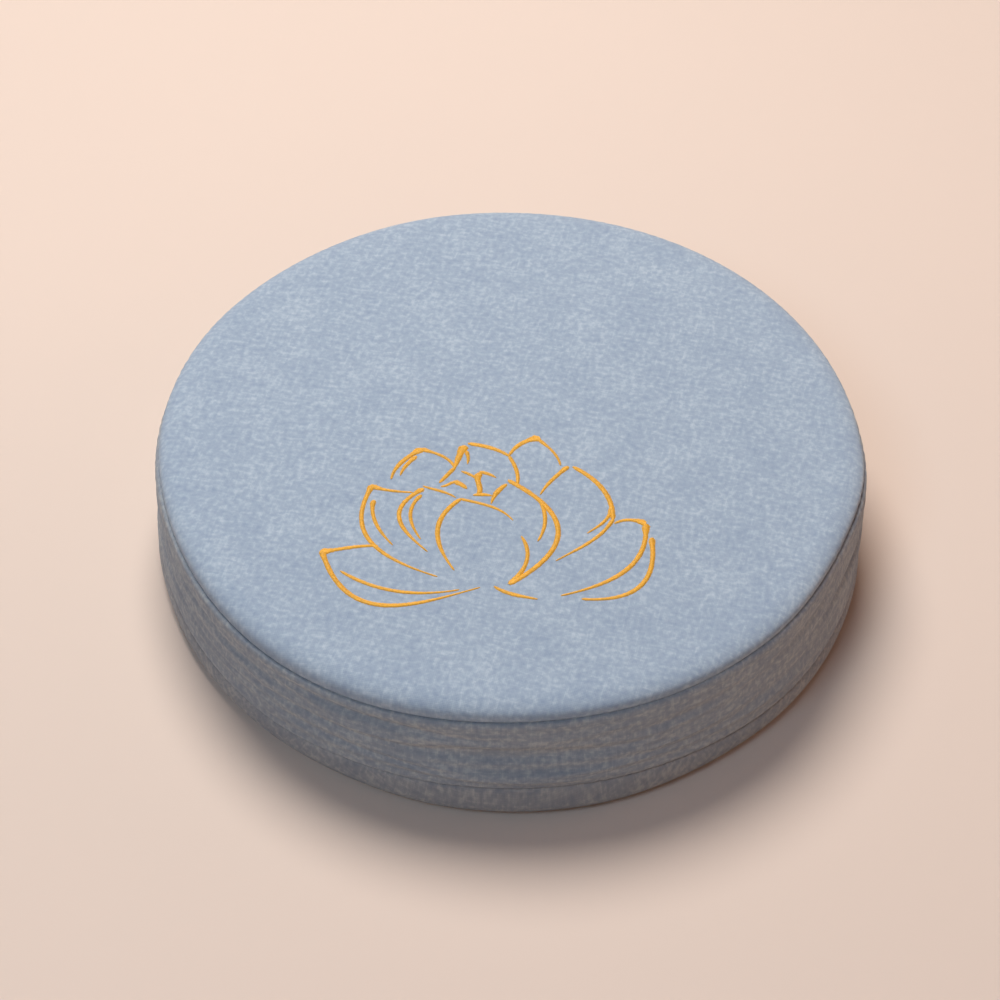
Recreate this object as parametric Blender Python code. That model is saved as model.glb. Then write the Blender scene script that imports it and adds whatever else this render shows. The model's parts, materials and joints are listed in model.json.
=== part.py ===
"""A flat, round, boxed meditation cushion (zafu pad), lying on its base.

Three pieces of one pale-blue slub cloth, as a maker cuts them: a round top panel eased over a rolled
edge, a long side band closed over what it is filled with, and a round bottom panel that lies flat.
Each is a closed solid. Metres, +Z up, origin under the middle of the cushion, -Y is the front.
"""

import math

import bmesh
import bpy
from mathutils import Matrix, Vector

MM = 0.001

# Driving dimensions
RADIUS = 0.200
THICKNESS = 0.0870
UPPER_SEAM_HEIGHT = 0.0764
LOWER_SEAM_HEIGHT = 0.0180
CLOTH = 0.0016
GAP = 0.00039
STEPS_AROUND = 80

# The rolled top edge: it starts this far in and this high, and is widest at TOP_ROLL_WIDEST
TOP_ROLL_WIDTH = 0.016
TOP_ROLL_START = 0.0852
TOP_ROLL_WIDEST = 0.0788
TOP_ROLL_SQUARENESS = 2.2
CROWN_POWER = 2.4
TUCK_STEPS = 3

# The seams are drawn in between the rolls
UPPER_SEAM_DRAWN_IN = 0.0006
LOWER_SEAM_DRAWN_IN = 0.0026
SEAM_ALLOWANCE = 0.0040

# The band is a little slack, and fuller low down than under the top seam
BAND_SHOULDER = 0.0060
BAND_RADIUS_HIGH = 0.2021
BAND_RADIUS_LOW = 0.2033
BAND_FOOT = 0.0050
BAND_ROWS = 18

# The bottom roll
BOTTOM_RADIUS = 0.2044
BOTTOM_ROLL_WIDTH = 0.0130
BOTTOM_ROLL_WIDEST = 0.0100
BOTTOM_ROLL_SQUARENESS = 2.1

# Out of round, in soft lobes: how many lobes, the angle of one of their peaks in degrees, and how far
# they stand out in millimetres at the top roll and at the base
#   lobes  peak  at_top  at_base
LOBES = (
    (2, 72.5, 1.6, 0.0),
    (3, 15.0, 0.8, 0.0),
)

# Single swells and flats of the outline: the angle of the middle and half the length in degrees, and
# how far each stands out in millimetres at the top roll and at the base
#   at  reach  at_top  at_base
OUTLINE_SWELLS = (
    (-178.0, 16.0, 0.5, 0.0),
    (-155.0, 30.0, -0.9, -3.2),
    (-126.0, 28.0, 0.3, -2.3),
    (-88.0, 28.0, -1.0, 1.0),
    (-50.0, 26.0, 0.0, -2.0),
    (-24.0, 20.0, -1.9, -1.4),
    (-6.0, 14.0, 1.1, 0.0),
    (20.0, 26.0, -0.7, 0.0),
    (128.0, 26.0, -0.9, 0.0),
    (165.0, 26.0, 0.5, 0.0),
)

# The top seam wanders up and down: lobes, angle of a peak in degrees, rise in millimetres
#   lobes  peak  rise
SEAM_WAVES = (
    (2, -125.0, 0.3),
    (3, -50.0, 0.2),
    (7, 10.0, 0.2),
)

# Where a seam leaves its own height: middle and half length in degrees, rise in millimetres, and how
# far into the band that reaches
#   at  reach  rise
UPPER_SEAM_SLIDES = ((-130.0, 60.0, -3.2),)
LOWER_SEAM_SLIDES = ((-86.0, 44.0, 7.1),)
SEAM_SLIDE_REACH = 0.030

# Shallow dents and swells of the top face: place in metres, how far each reaches, height in millimetres
#   x  y  reach  swell
TOP_SWELLS = (
    (-0.095, 0.070, 0.070, -0.8),
    (0.085, 0.095, 0.065, 0.6),
    (0.110, -0.060, 0.070, -0.7),
    (-0.080, -0.105, 0.060, 0.6),
    (0.010, 0.010, 0.080, 0.5),
)

# Folds pressed into the band, all running around it. Angles in degrees, -90 faces the front:
# the fold's middle and half its length. Millimetres: the height of its middle, its climb from middle
# to end, half its width, and its depth, which is negative where a soft ridge stands out.
#   at  reach  height  climb  width  depth
FOLDS = (
    (-112.0, 20.0, 64.0, -1.5, 3.4, 2.2),
    (-109.0, 15.0, 54.0, -2.5, 4.0, -1.5),
    (-120.0, 13.0, 46.0, 1.5, 3.2, 1.6),
    (-131.0, 14.0, 57.0, 2.0, 3.6, 1.2),
    (-91.0, 27.0, 50.0, -1.5, 7.0, 3.0),
    (-88.0, 24.0, 34.5, -1.0, 5.0, -2.2),
    (-117.0, 12.0, 34.0, 1.0, 3.0, 1.2),
    (-61.0, 12.0, 58.0, 1.0, 3.4, 0.8),
    (-42.0, 16.0, 32.0, -1.0, 6.0, -1.0),
    (-36.0, 13.0, 60.0, 1.5, 3.2, 1.0),
    (-14.0, 14.0, 47.0, -2.0, 3.2, 1.5),
    (12.0, 19.0, 61.0, -1.5, 3.0, 1.8),
    (27.0, 15.0, 40.0, 2.5, 3.4, 1.9),
    (52.0, 18.0, 53.0, 1.5, 3.2, 2.2),
    (63.0, 12.0, 36.0, -1.5, 3.8, -1.2),
    (84.0, 17.0, 64.0, -1.0, 2.8, 1.7),
    (97.0, 19.0, 46.0, 3.0, 3.4, 2.1),
    (124.0, 15.0, 57.0, -2.5, 3.2, 1.9),
    (133.0, 14.0, 35.0, 1.0, 4.0, -1.2),
    (154.0, 18.0, 50.0, 2.0, 3.2, 1.8),
    (176.0, 14.0, 64.0, 1.0, 2.8, 1.3),
    (-163.0, 15.0, 40.0, -2.0, 3.6, 1.2),
    (-147.0, 12.0, 58.0, 1.5, 3.0, 0.9),
)


def quarter_curve(corner, reach_out, reach_up, steps, squareness=2.0):
    """A quarter of a rounded curve about corner, from straight up (or down) of it to straight out."""
    points = []
    for step in range(steps + 1):
        turn = math.pi / 2 * step / steps
        out = math.sin(turn) ** (2 / squareness)
        up = max(math.cos(turn), 0.0) ** (2 / squareness)
        points.append((corner[0] + reach_out * out, corner[1] + reach_up * up))
    return points


def top_face_line(fine):
    """The top panel's outer face from the middle to the upper seam, as (radius, height) points."""
    flat = RADIUS - TOP_ROLL_WIDTH
    crown = THICKNESS - TOP_ROLL_START
    line = []
    for share in (0.0, 0.35, 0.62, 0.82, 0.94):
        line.append((flat * share, THICKNESS - crown * share ** CROWN_POWER))
    line += quarter_curve(
        (flat, TOP_ROLL_WIDEST), TOP_ROLL_WIDTH, TOP_ROLL_START - TOP_ROLL_WIDEST,
        6 if fine else 4, TOP_ROLL_SQUARENESS)
    tuck = quarter_curve(
        (RADIUS - UPPER_SEAM_DRAWN_IN, TOP_ROLL_WIDEST), UPPER_SEAM_DRAWN_IN,
        UPPER_SEAM_HEIGHT - TOP_ROLL_WIDEST, TUCK_STEPS)
    line += tuck[-2::-1]
    return line


def bottom_face_line(fine):
    """The bottom panel's outer face from the lower seam down to the middle of the base."""
    tuck = quarter_curve(
        (BOTTOM_RADIUS - LOWER_SEAM_DRAWN_IN, BOTTOM_ROLL_WIDEST), LOWER_SEAM_DRAWN_IN,
        LOWER_SEAM_HEIGHT - BOTTOM_ROLL_WIDEST, 3 if fine else 2)
    roll = quarter_curve(
        (BOTTOM_RADIUS - BOTTOM_ROLL_WIDTH, BOTTOM_ROLL_WIDEST), BOTTOM_ROLL_WIDTH,
        -BOTTOM_ROLL_WIDEST, 5 if fine else 3, BOTTOM_ROLL_SQUARENESS)
    return tuck + roll[-2::-1] + [(0.0, 0.0)]


def band_face_line():
    """The side band's outer face from the upper seam to the lower one."""
    top = UPPER_SEAM_HEIGHT - GAP
    foot = LOWER_SEAM_HEIGHT + GAP
    upper_seam = RADIUS - UPPER_SEAM_DRAWN_IN
    lower_seam = BOTTOM_RADIUS - LOWER_SEAM_DRAWN_IN
    shoulder = quarter_curve(
        (upper_seam, top - BAND_SHOULDER), BAND_RADIUS_HIGH - upper_seam, BAND_SHOULDER, 3)
    ankle = quarter_curve(
        (lower_seam, foot + BAND_FOOT), BAND_RADIUS_LOW - lower_seam, -BAND_FOOT, 3)
    high = top - BAND_SHOULDER
    low = foot + BAND_FOOT
    wall = []
    for row in range(1, BAND_ROWS):
        share = row / BAND_ROWS
        radius = BAND_RADIUS_HIGH + (BAND_RADIUS_LOW - BAND_RADIUS_HIGH) * share
        wall.append((radius, high + (low - high) * share))
    return shoulder + wall + ankle[::-1]


def set_in(line, depth):
    """A line parallel to line and depth further inside; the panels' lines all run clockwise."""
    moved = []
    for index, (radius, height) in enumerate(line):
        before = line[max(index - 1, 0)]
        after = line[min(index + 1, len(line) - 1)]
        along = Vector((after[0] - before[0], after[1] - before[1])).normalized()
        inward = Vector((along.y, -along.x))
        moved.append((max(radius + inward.x * depth, 0.0), height + inward.y * depth))
    return moved


def top_inside_line(depth):
    """The line depth under the top panel's outer face, ending straight inside the seam."""
    line = set_in(top_face_line(fine=False), depth)[:-TUCK_STEPS]
    line[0] = (0.0, THICKNESS - depth)
    return line + [(RADIUS - depth, UPPER_SEAM_HEIGHT)]


def bottom_inside_line(depth):
    """The line depth inside the bottom panel's outer face, beginning straight under the seam."""
    line = set_in(bottom_face_line(fine=False), depth)
    line[0] = (BOTTOM_RADIUS - LOWER_SEAM_DRAWN_IN, LOWER_SEAM_HEIGHT - depth)
    line[-1] = (0.0, depth)
    return line


def top_panel_line():
    """The whole cut edge of the top panel: outer face, seam, inner face."""
    return top_face_line(fine=True) + top_inside_line(CLOTH)[::-1]


def bottom_panel_line():
    """The whole cut edge of the bottom panel: inner face, seam, outer face."""
    return bottom_inside_line(CLOTH)[::-1] + bottom_face_line(fine=True)


def filled_band_line():
    """The band and what it closes over: under the top panel, down the side, over the bottom panel."""
    crown = top_inside_line(CLOTH + GAP)
    base = bottom_inside_line(CLOTH + GAP)
    base[0] = (base[0][0] - GAP, base[0][1])
    face = band_face_line()
    under_seam = [(crown[-1][0], face[0][1])]
    over_seam = [(base[0][0], face[-1][1])]
    return crown + under_seam + face + over_seam + base


def lobe(angle, lobes, peak):
    """1 at the peaks of lobes even lobes around the cushion, -1 between them."""
    return math.cos(lobes * (angle - math.radians(peak)))


def hump(angle, at, reach):
    """1 at the middle of a stretch around the cushion, falling softly to 0 at its ends."""
    along = math.remainder(angle - math.radians(at), math.tau) / math.radians(reach)
    return (1.0 - along * along) ** 2 if abs(along) < 1.0 else 0.0


def smooth_step(value):
    """0 below 0, 1 above 1, and a smooth way between."""
    held = min(max(value, 0.0), 1.0)
    return held * held * (3.0 - 2.0 * held)


def out_of_round(angle, radius, height):
    """How far a point lies outside the true circle."""
    high = smooth_step((height - LOWER_SEAM_HEIGHT) / (UPPER_SEAM_HEIGHT - LOWER_SEAM_HEIGHT))
    reach = 0.0
    for lobes, peak, at_top, at_base in LOBES:
        reach += (at_base + (at_top - at_base) * high) * MM * lobe(angle, lobes, peak)
    for at, length, at_top, at_base in OUTLINE_SWELLS:
        reach += (at_base + (at_top - at_base) * high) * MM * hump(angle, at, length)
    return reach * (radius / RADIUS) ** 4


def lift(x, y, angle, radius, height):
    """How far the top edge, the top seam and the top face rise or sink."""
    high = smooth_step((height - 0.5 * THICKNESS) / (UPPER_SEAM_HEIGHT - 0.5 * THICKNESS))
    rise = 0.0
    for lobes, peak, wave in SEAM_WAVES:
        rise += wave * MM * lobe(angle, lobes, peak) * (radius / RADIUS) ** 4
    for swell_x, swell_y, reach, swell in TOP_SWELLS:
        away = ((x - swell_x) ** 2 + (y - swell_y) ** 2) / reach ** 2
        rise += swell * MM * math.exp(-2.0 * away)
    return rise * high


def seam_slide(angle, height):
    """How far the cloth near a seam rises or sinks with it; the middle of the top face and the base stay."""
    by_upper = smooth_step(min(
        (THICKNESS - height) / (THICKNESS - UPPER_SEAM_HEIGHT),
        1.0 - (UPPER_SEAM_HEIGHT - height) / SEAM_SLIDE_REACH))
    by_lower = smooth_step(min(
        (height - BOTTOM_ROLL_WIDEST) / (LOWER_SEAM_HEIGHT - BOTTOM_ROLL_WIDEST),
        1.0 - (height - LOWER_SEAM_HEIGHT) / SEAM_SLIDE_REACH))
    slide = 0.0
    for share, stretches in ((by_upper, UPPER_SEAM_SLIDES), (by_lower, LOWER_SEAM_SLIDES)):
        for at, reach, rise in stretches:
            slide += share * rise * MM * hump(angle, at, reach)
    return slide


def fold_depth(angle, height):
    """How deep the band's folds press in at a place on its face."""
    risen = height + seam_slide(angle, height)
    depth = 0.0
    for at, reach, middle, climb, width, deep in FOLDS:
        along = math.remainder(angle - math.radians(at), math.tau) / math.radians(reach)
        if abs(along) < 1.0:
            across = (risen - (middle + climb * along) * MM) / (width * MM)
            depth += deep * MM * (1.0 - along * along) ** 2 * math.exp(-across * across)
    to_seam = min(height - LOWER_SEAM_HEIGHT, UPPER_SEAM_HEIGHT - height) / BAND_SHOULDER
    return depth * smooth_step(to_seam)


def settle(vertex, folded_from):
    """Move one vertex of a turned form to where the uneven, folded cloth has it."""
    x, y, height = vertex.co
    radius = math.hypot(x, y)
    if radius == 0.0:
        vertex.co.z = height + lift(x, y, 0.0, radius, height)
        return
    angle = math.atan2(y, x)
    wider = radius + out_of_round(angle, radius, height)
    if radius > folded_from:
        wider -= fold_depth(angle, height)
    higher = height + lift(x, y, angle, radius, height) + seam_slide(angle, height)
    vertex.co = Vector((x * wider / radius, y * wider / radius, higher))


def fabric(name, colour, roughness):
    """A plain cloth material; colour is sRGB hex."""
    material = bpy.data.materials.new(name)
    material.use_nodes = True
    shader = material.node_tree.nodes["Principled BSDF"]
    channels = [int(colour[at:at + 2], 16) / 255 for at in (0, 2, 4)]
    linear = [((channel + 0.055) / 1.055) ** 2.4 for channel in channels]
    shader.inputs["Base Color"].default_value = (*linear, 1.0)
    shader.inputs["Roughness"].default_value = roughness
    shader.inputs["Metallic"].default_value = 0.0
    material.diffuse_color = (*linear, 1.0)
    return material


def turned_piece(name, line, material, folded_from=math.inf):
    """Spin a closed line around the cushion's axis, make it uneven and add it to the scene."""
    mesh = bpy.data.meshes.new(name)
    shape = bmesh.new()
    corners = [shape.verts.new((radius, 0.0, height)) for radius, height in line]
    edges = [shape.edges.new(pair) for pair in zip(corners, corners[1:])]
    bmesh.ops.spin(
        shape, geom=corners + edges, cent=(0.0, 0.0, 0.0), axis=(0.0, 0.0, 1.0),
        dvec=(0.0, 0.0, 0.0), angle=math.tau, steps=STEPS_AROUND, use_merge=True)
    bmesh.ops.remove_doubles(shape, verts=shape.verts[:], dist=0.00001)
    for vertex in shape.verts:
        settle(vertex, folded_from)
    bmesh.ops.recalc_face_normals(shape, faces=shape.faces[:])
    shape.to_mesh(mesh)
    shape.free()
    mesh.shade_smooth()
    mesh.set_sharp_from_angle(angle=math.radians(50.0))
    mesh.materials.append(material)
    piece = bpy.data.objects.new(name, mesh)
    bpy.context.scene.collection.objects.link(piece)
    return piece


def centre_over_origin(pieces):
    """Move the uneven cushion so that its box stands centred on the origin."""
    points = [corner.co for piece in pieces for corner in piece.data.vertices]
    middle_x = (min(point.x for point in points) + max(point.x for point in points)) / 2
    middle_y = (min(point.y for point in points) + max(point.y for point in points)) / 2
    for piece in pieces:
        piece.data.transform(Matrix.Translation((-middle_x, -middle_y, 0.0)))


def main():
    for old in list(bpy.data.objects):
        bpy.data.objects.remove(old, do_unlink=True)
    neck = BOTTOM_RADIUS - LOWER_SEAM_DRAWN_IN - SEAM_ALLOWANCE
    top = turned_piece("top_panel", top_panel_line(), fabric("top_cloth", "ACB9CA", 0.9))
    band = turned_piece(
        "side_band", filled_band_line(), fabric("band_cloth", "9FACBE", 0.9), folded_from=neck)
    bottom = turned_piece("bottom_panel", bottom_panel_line(), fabric("bottom_cloth", "9AA7B9", 0.9))
    centre_over_origin([top, band, bottom])


main()
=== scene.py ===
"""A flat round meditation cushion: three covers of pale-blue slub cloth and a lotus in golden satin stitch.

Every cover is turned from its own line, as the solids are, and then made uneven: out of round, crowned,
folded along the side band and puckered where it is eased into a seam. Metres, +Z up, -Y is the front.
"""

import json
import math
import random

import bmesh
import bpy
import numpy as np
from bpy.props import FloatProperty, FloatVectorProperty, IntProperty, PointerProperty
from mathutils import Matrix, Vector
from mathutils.bvhtree import BVHTree

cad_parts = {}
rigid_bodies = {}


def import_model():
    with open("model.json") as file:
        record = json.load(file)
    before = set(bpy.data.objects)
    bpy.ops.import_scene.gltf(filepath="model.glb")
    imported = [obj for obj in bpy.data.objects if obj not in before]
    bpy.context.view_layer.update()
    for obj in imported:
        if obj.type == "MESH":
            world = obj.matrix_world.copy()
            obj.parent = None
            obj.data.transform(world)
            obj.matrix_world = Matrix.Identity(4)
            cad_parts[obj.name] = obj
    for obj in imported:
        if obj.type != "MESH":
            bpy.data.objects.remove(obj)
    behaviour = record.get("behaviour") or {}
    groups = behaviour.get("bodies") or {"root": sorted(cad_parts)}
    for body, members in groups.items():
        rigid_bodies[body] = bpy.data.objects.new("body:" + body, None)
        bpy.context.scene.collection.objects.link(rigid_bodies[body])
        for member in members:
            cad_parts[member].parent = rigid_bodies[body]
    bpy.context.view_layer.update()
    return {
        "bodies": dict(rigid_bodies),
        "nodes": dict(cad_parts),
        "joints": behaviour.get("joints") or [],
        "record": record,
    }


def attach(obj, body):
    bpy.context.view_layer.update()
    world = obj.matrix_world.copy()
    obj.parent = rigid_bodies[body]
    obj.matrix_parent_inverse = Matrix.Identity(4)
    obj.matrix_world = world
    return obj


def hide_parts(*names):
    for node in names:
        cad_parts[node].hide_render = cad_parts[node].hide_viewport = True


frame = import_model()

bl_info = {
    "name": "Round meditation cushion",
    "version": (1, 0, 0),
    "blender": (4, 5, 0),
    "location": "View3D > Sidebar > Cushion",
    "description": "Builds a boxed round cushion with a wrinkled side band and a stitched lotus",
    "category": "Add Mesh",
}

BODY = "root"
MM = 0.001


def srgb(code):
    """The three sRGB values, 0 to 1, of a hex colour."""
    return tuple(int(code[at:at + 2], 16) / 255 for at in (0, 2, 4))


def colour_setting(name, description, code):
    """A colour that a user would change, with a hex colour as its default."""
    return FloatVectorProperty(
        name=name, description=f"{description}, sRGB", default=srgb(code), size=3, min=0.0, max=1.0,
        subtype="COLOR_GAMMA")


# The cushion's outline, as its maker has it
RADIUS = 0.200
THICKNESS = 0.0870
UPPER_SEAM_HEIGHT = 0.0764
LOWER_SEAM_HEIGHT = 0.0180
CLOTH = 0.0016
GAP = 0.00039
SEAM_SLIT = 0.0001       # between band and cover at a seam; at GAP's width it would show black
TOP_ROLL_WIDTH = 0.016
TOP_ROLL_START = 0.0852
TOP_ROLL_WIDEST = 0.0788
TOP_ROLL_SQUARENESS = 2.2
CROWN_POWER = 2.4
CROWN_ROW_SPREAD = 0.85  # below 1, rows lie closer near the rim
UPPER_SEAM_DRAWN_IN = 0.0006
LOWER_SEAM_DRAWN_IN = 0.0026
BAND_SHOULDER = 0.0060
BAND_RADIUS_HIGH = 0.2021
BAND_RADIUS_LOW = 0.2033
BAND_FOOT = 0.0050
BOTTOM_RADIUS = 0.2044
BOTTOM_ROLL_WIDTH = 0.0130
BOTTOM_ROLL_WIDEST = 0.0100
BOTTOM_ROLL_SQUARENESS = 2.1

# Out of round, in soft lobes: how many, the angle of a peak in degrees, millimetres at top and base
#   lobes  peak  at_top  at_base
LOBES = (
    (2, 72.5, 1.6, 0.0),
    (3, 15.0, 0.8, 0.0),
)

# Single swells and flats of the outline: middle and half length in degrees, millimetres at top and base
#   at  reach  at_top  at_base
OUTLINE_SWELLS = (
    (-178.0, 16.0, 0.5, 0.0),
    (-155.0, 30.0, -0.9, -3.2),
    (-126.0, 28.0, 0.3, -2.3),
    (-88.0, 28.0, -1.0, 1.0),
    (-50.0, 26.0, 0.0, -2.0),
    (-24.0, 20.0, -1.9, -1.4),
    (-6.0, 14.0, 1.1, 0.0),
    (20.0, 26.0, -0.7, 0.0),
    (128.0, 26.0, -0.9, 0.0),
    (165.0, 26.0, 0.5, 0.0),
)

# The top seam wanders up and down: lobes, angle of a peak in degrees, rise in millimetres
#   lobes  peak  rise
SEAM_WAVES = (
    (2, -125.0, 0.3),
    (3, -50.0, 0.2),
    (7, 10.0, 0.2),
)

# Where a seam leaves its own height: middle and half length in degrees, rise in millimetres, and how
# far into the band that reaches
#   at  reach  rise
UPPER_SEAM_SLIDES = ((-130.0, 60.0, -3.2),)
LOWER_SEAM_SLIDES = ((-86.0, 44.0, 7.1),)
SEAM_SLIDE_REACH = 0.030

# Shallow dents and swells of the top face: place in metres, reach in metres, height in millimetres
#   x  y  reach  swell
TOP_SWELLS = (
    (-0.095, 0.070, 0.070, -0.8),
    (0.085, 0.095, 0.065, 0.6),
    (0.110, -0.060, 0.070, -0.7),
    (-0.080, -0.105, 0.060, 0.6),
    (0.010, 0.010, 0.080, 0.5),
)

# The band's main folds, all running around it. Degrees (-90 is the front): middle, half length.
# Millimetres: height of the middle, climb to the end, half width, depth (negative is a soft ridge).
#   at  reach  height  climb  width  depth
FOLDS = (
    (-112.0, 20.0, 64.0, -1.5, 3.4, 2.2),
    (-109.0, 15.0, 54.0, -2.5, 4.0, -1.5),
    (-120.0, 13.0, 46.0, 1.5, 3.2, 1.6),
    (-131.0, 14.0, 57.0, 2.0, 3.6, 1.2),
    (-91.0, 27.0, 50.0, -1.5, 7.0, 3.0),
    (-88.0, 24.0, 34.5, -1.0, 5.0, -2.2),
    (-117.0, 12.0, 34.0, 1.0, 3.0, 1.2),
    (-61.0, 12.0, 58.0, 1.0, 3.4, 0.8),
    (-42.0, 16.0, 32.0, -1.0, 6.0, -1.0),
    (-36.0, 13.0, 60.0, 1.5, 3.2, 1.0),
    (-14.0, 14.0, 47.0, -2.0, 3.2, 1.5),
    (12.0, 19.0, 61.0, -1.5, 3.0, 1.8),
    (27.0, 15.0, 40.0, 2.5, 3.4, 1.9),
    (52.0, 18.0, 53.0, 1.5, 3.2, 2.2),
    (63.0, 12.0, 36.0, -1.5, 3.8, -1.2),
    (84.0, 17.0, 64.0, -1.0, 2.8, 1.7),
    (97.0, 19.0, 46.0, 3.0, 3.4, 2.1),
    (124.0, 15.0, 57.0, -2.5, 3.2, 1.9),
    (133.0, 14.0, 35.0, 1.0, 4.0, -1.2),
    (154.0, 18.0, 50.0, 2.0, 3.2, 1.8),
    (176.0, 14.0, 64.0, 1.0, 2.8, 1.3),
    (-163.0, 15.0, 40.0, -2.0, 3.6, 1.2),
    (-147.0, 12.0, 58.0, 1.5, 3.0, 0.9),
)

# The band is folded by cloth simulation of a strip over its face, cut taller than it is sewn
STRIP_ROWS = 30
STRIP_STEPS = 480
STRIP_FRAMES = 25
STRIP_NOISE = 0.15 * MM
STRIP_FOLD_SHARE = 1.25
STRIP_GRIP = 0.32
STRIP_REACH = 3.5 * MM
STRIP_EASE = 0.028
# where the strip is cut taller still: middle and half length in degrees, and by what share
STRIP_EASES = (
    (-116.0, 36.0, 0.04),
    (-88.0, 25.0, 0.02),
    (-42.0, 30.0, -0.01),
    (5.0, 30.0, 0.03),
    (80.0, 60.0, 0.04),
    (150.0, 35.0, 0.03),
)
STRIP_CLOTH = (
    ("quality", 8),
    ("mass", 0.15),
    ("tension_stiffness", 15.0),
    ("compression_stiffness", 15.0),
    ("shear_stiffness", 5.0),
    ("bending_stiffness", 35.0),
    ("bending_model", "ANGULAR"),
    ("vertex_group_mass", "held"),
    ("pin_stiffness", 1.0),
)

# The seam that closes the band into a ring, at the back, in degrees
CLOSING_SEAM = 95.0
CLOSING_SEAM_WIDTH = 1.8 * MM
CLOSING_SEAM_DEPTH = 0.9 * MM

# Puckers begin near the rim and fade away from each seam, whose own line stays even
PUCKERS_AROUND = (97, 131, 158, 187, 223)
PUCKER_RIM = 0.190
PUCKER_RIM_WIDTH = 0.006
UPPER_PUCKER_REACH = 0.0055
LOWER_PUCKER_REACH = 0.0045
LOWER_PUCKER_SHARE = 0.7
SEAM_LINE_WIDTH = 0.0015

# How strongly these heather the cloth: the threads' shade, the shade of the one on top, fuzz and dye
HEATHER_STRENGTHS = (0.40, 0.14, 0.42, 0.24)
# the side and base show their threads further apart in shade than the top
SIDE_CONTRAST = 1.45

# The lotus, drawn as single strokes in millimetres from the flower's middle: both ends, how far the
# stroke bows to its left a third and two thirds of the way along, and its width at start, middle, end
#   x0  y0  x1  y1  bow_near  bow_far  start  middle  end
LOTUS_STROKES = (
    # left outer petal
    (-90, -26, -60, -21, 0, 2, 4.7, 2.5, 1.8),
    (-90, -25, -4, -49, -50, -23, 4.2, 2.9, 1.0),
    (-79, -40, -15, -51, -11, -10, 1.5, 2.3, 1.1),
    # left side petal
    (-65, 25, -27, -42, -32, -22, 4.7, 2.6, 1.1),
    (-65, 24, -43, 20, -2, -1, 3.8, 2.0, 1.2),
    (-64, 13, -52, -20, -6, -4, 3.5, 2.2, 1.1),
    # left inner petal
    (-37, 23, -33, -24, -24, -13, 3.5, 2.6, 1.1),
    (-38, 18, -37, -15, -9, -6, 2.8, 2.1, 1.1),
    (-37, 25, -19, 17, 0, 2, 1.5, 2.0, 1.2),
    # centre petal
    (-16, 16, -18, -37, -17, -12, 2.6, 2.8, 1.2),
    (-16, 16, 13, 1, 2, 6, 2.1, 2.0, 1.0),
    (18, -11, 12, -46, 9, 7, 1.5, 2.3, 3.3),
    # right inner petal
    (10, 31, 12, -46, 37, 35, 2.8, 3.0, 2.9),
    (27, 18, 27, -14, 5, 5, 1.9, 2.4, 1.4),
    # right side petal
    (46, 43, 68, 4, 8, 9, 2.4, 3.0, 2.9),
    (68, 4, 37, -28, 6, 2, 2.8, 2.1, 1.0),
    (67, 13, 54, -7, 5, 2, 3.1, 2.0, 1.1),
    (43, 43, 28, 21, -1, -2, 3.5, 2.4, 1.3),
    # right outer petal
    (86, 2, 69, 1, -3, -4, 5.0, 2.3, 1.7),
    (86, 1, 40, -53, 22, 14, 5.2, 2.8, 1.3),
    (89, -9, 51, -55, 20, 26, 4.0, 2.8, 1.8),
    # back petals
    (-39, 54, -55, 30, -3, -5, 5.4, 2.8, 1.5),
    (-42, 48, -50, 33, -1, -2, 3.1, 2.4, 1.3),
    (-39, 54, -20, 40, 2, 5, 3.5, 2.0, 1.8),
    (-20, 40, -28, 28, 0, 0, 2.6, 2.6, 1.8),
    (-15, 57, -20, 40, -1, 0, 5.7, 3.7, 2.0),
    (-14, 53, -13, 43, 1, 1, 2.8, 2.0, 1.1),
    (-13, 59, 10, 50, 2, 3, 2.6, 2.9, 2.0),
    (10, 50, 15, 28, 2, 3, 2.1, 2.4, 2.0),
    (27, 65, 10, 50, -4, -4, 5.7, 2.9, 1.7),
    (27, 63, 39, 44, 2, 3, 2.8, 1.7, 1.4),
    # stamens
    (-20, 29, -13, 24, 1, 1, 4.0, 3.1, 2.2),
    (-27, 25, -20, 29, -1, 0, 1.7, 1.8, 2.4),
    (-6, 36, -6, 20, -3, 2, 4.5, 3.2, 2.9),
    (-6, 37, 3, 33, 1, 1, 2.6, 2.3, 1.3),
    (9, 28, 1, 13, -2, -2, 2.6, 3.1, 1.3),
    (-9, 19, 1, 19, 1, 1, 2.1, 2.6, 1.5),
    (-16, 37, -7, 31, 1, 1, 1.9, 2.0, 1.3),
    # foot of the flower
    (4, -48, 27, -56, -3, -1, 1.7, 2.6, 1.4),
)

# A stroke is thickest at its start and has thinned to its middle width this many millimetres on
STITCH_KNOT = 8.0
STITCH_SLANT = math.radians(14.0)
STITCH_FLATNESS = 0.7
STITCH_SUNK = 0.12 * MM
# wide strokes stand higher: the share of the rise that every stitch has, and what a full-width one adds
STITCH_RISE_LEAST = 0.75
STITCH_RISE_ADDED = 0.35
STITCH_FULL_WIDTH = 3.0 * MM

# The studio's lights: place and size in metres, share of the key light's power, sRGB colour
LIGHTS = (
    ("key_light", (-0.35, 0.9, 2.1), 1.3, 1.0, "FFFEFB"),
    ("front_fill", (-0.9, -1.5, 2.2), 1.0, 0.34, "B8E2FF"),
    ("right_fill", (1.9, 0.4, 0.7), 1.0, 0.06, "FFD6C6"),
)
LIGHTS_AIM = (0.0, 0.0, 0.04)
AIR_COLOUR = "FFAA90"
AIR_STRENGTH = 0.08
CAMERA_AIM = (-0.0053, -0.0005, 0.0345)
# the floor is flat this far out, curves up over its sweep and ends in a wall
FLOOR_RADIUS = 1.9
FLOOR_SWEEP = 0.9
WALL_HEIGHT = 2.6
FLOOR_DROP = 0.2 * MM


# -------- settings a user would change

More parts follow.
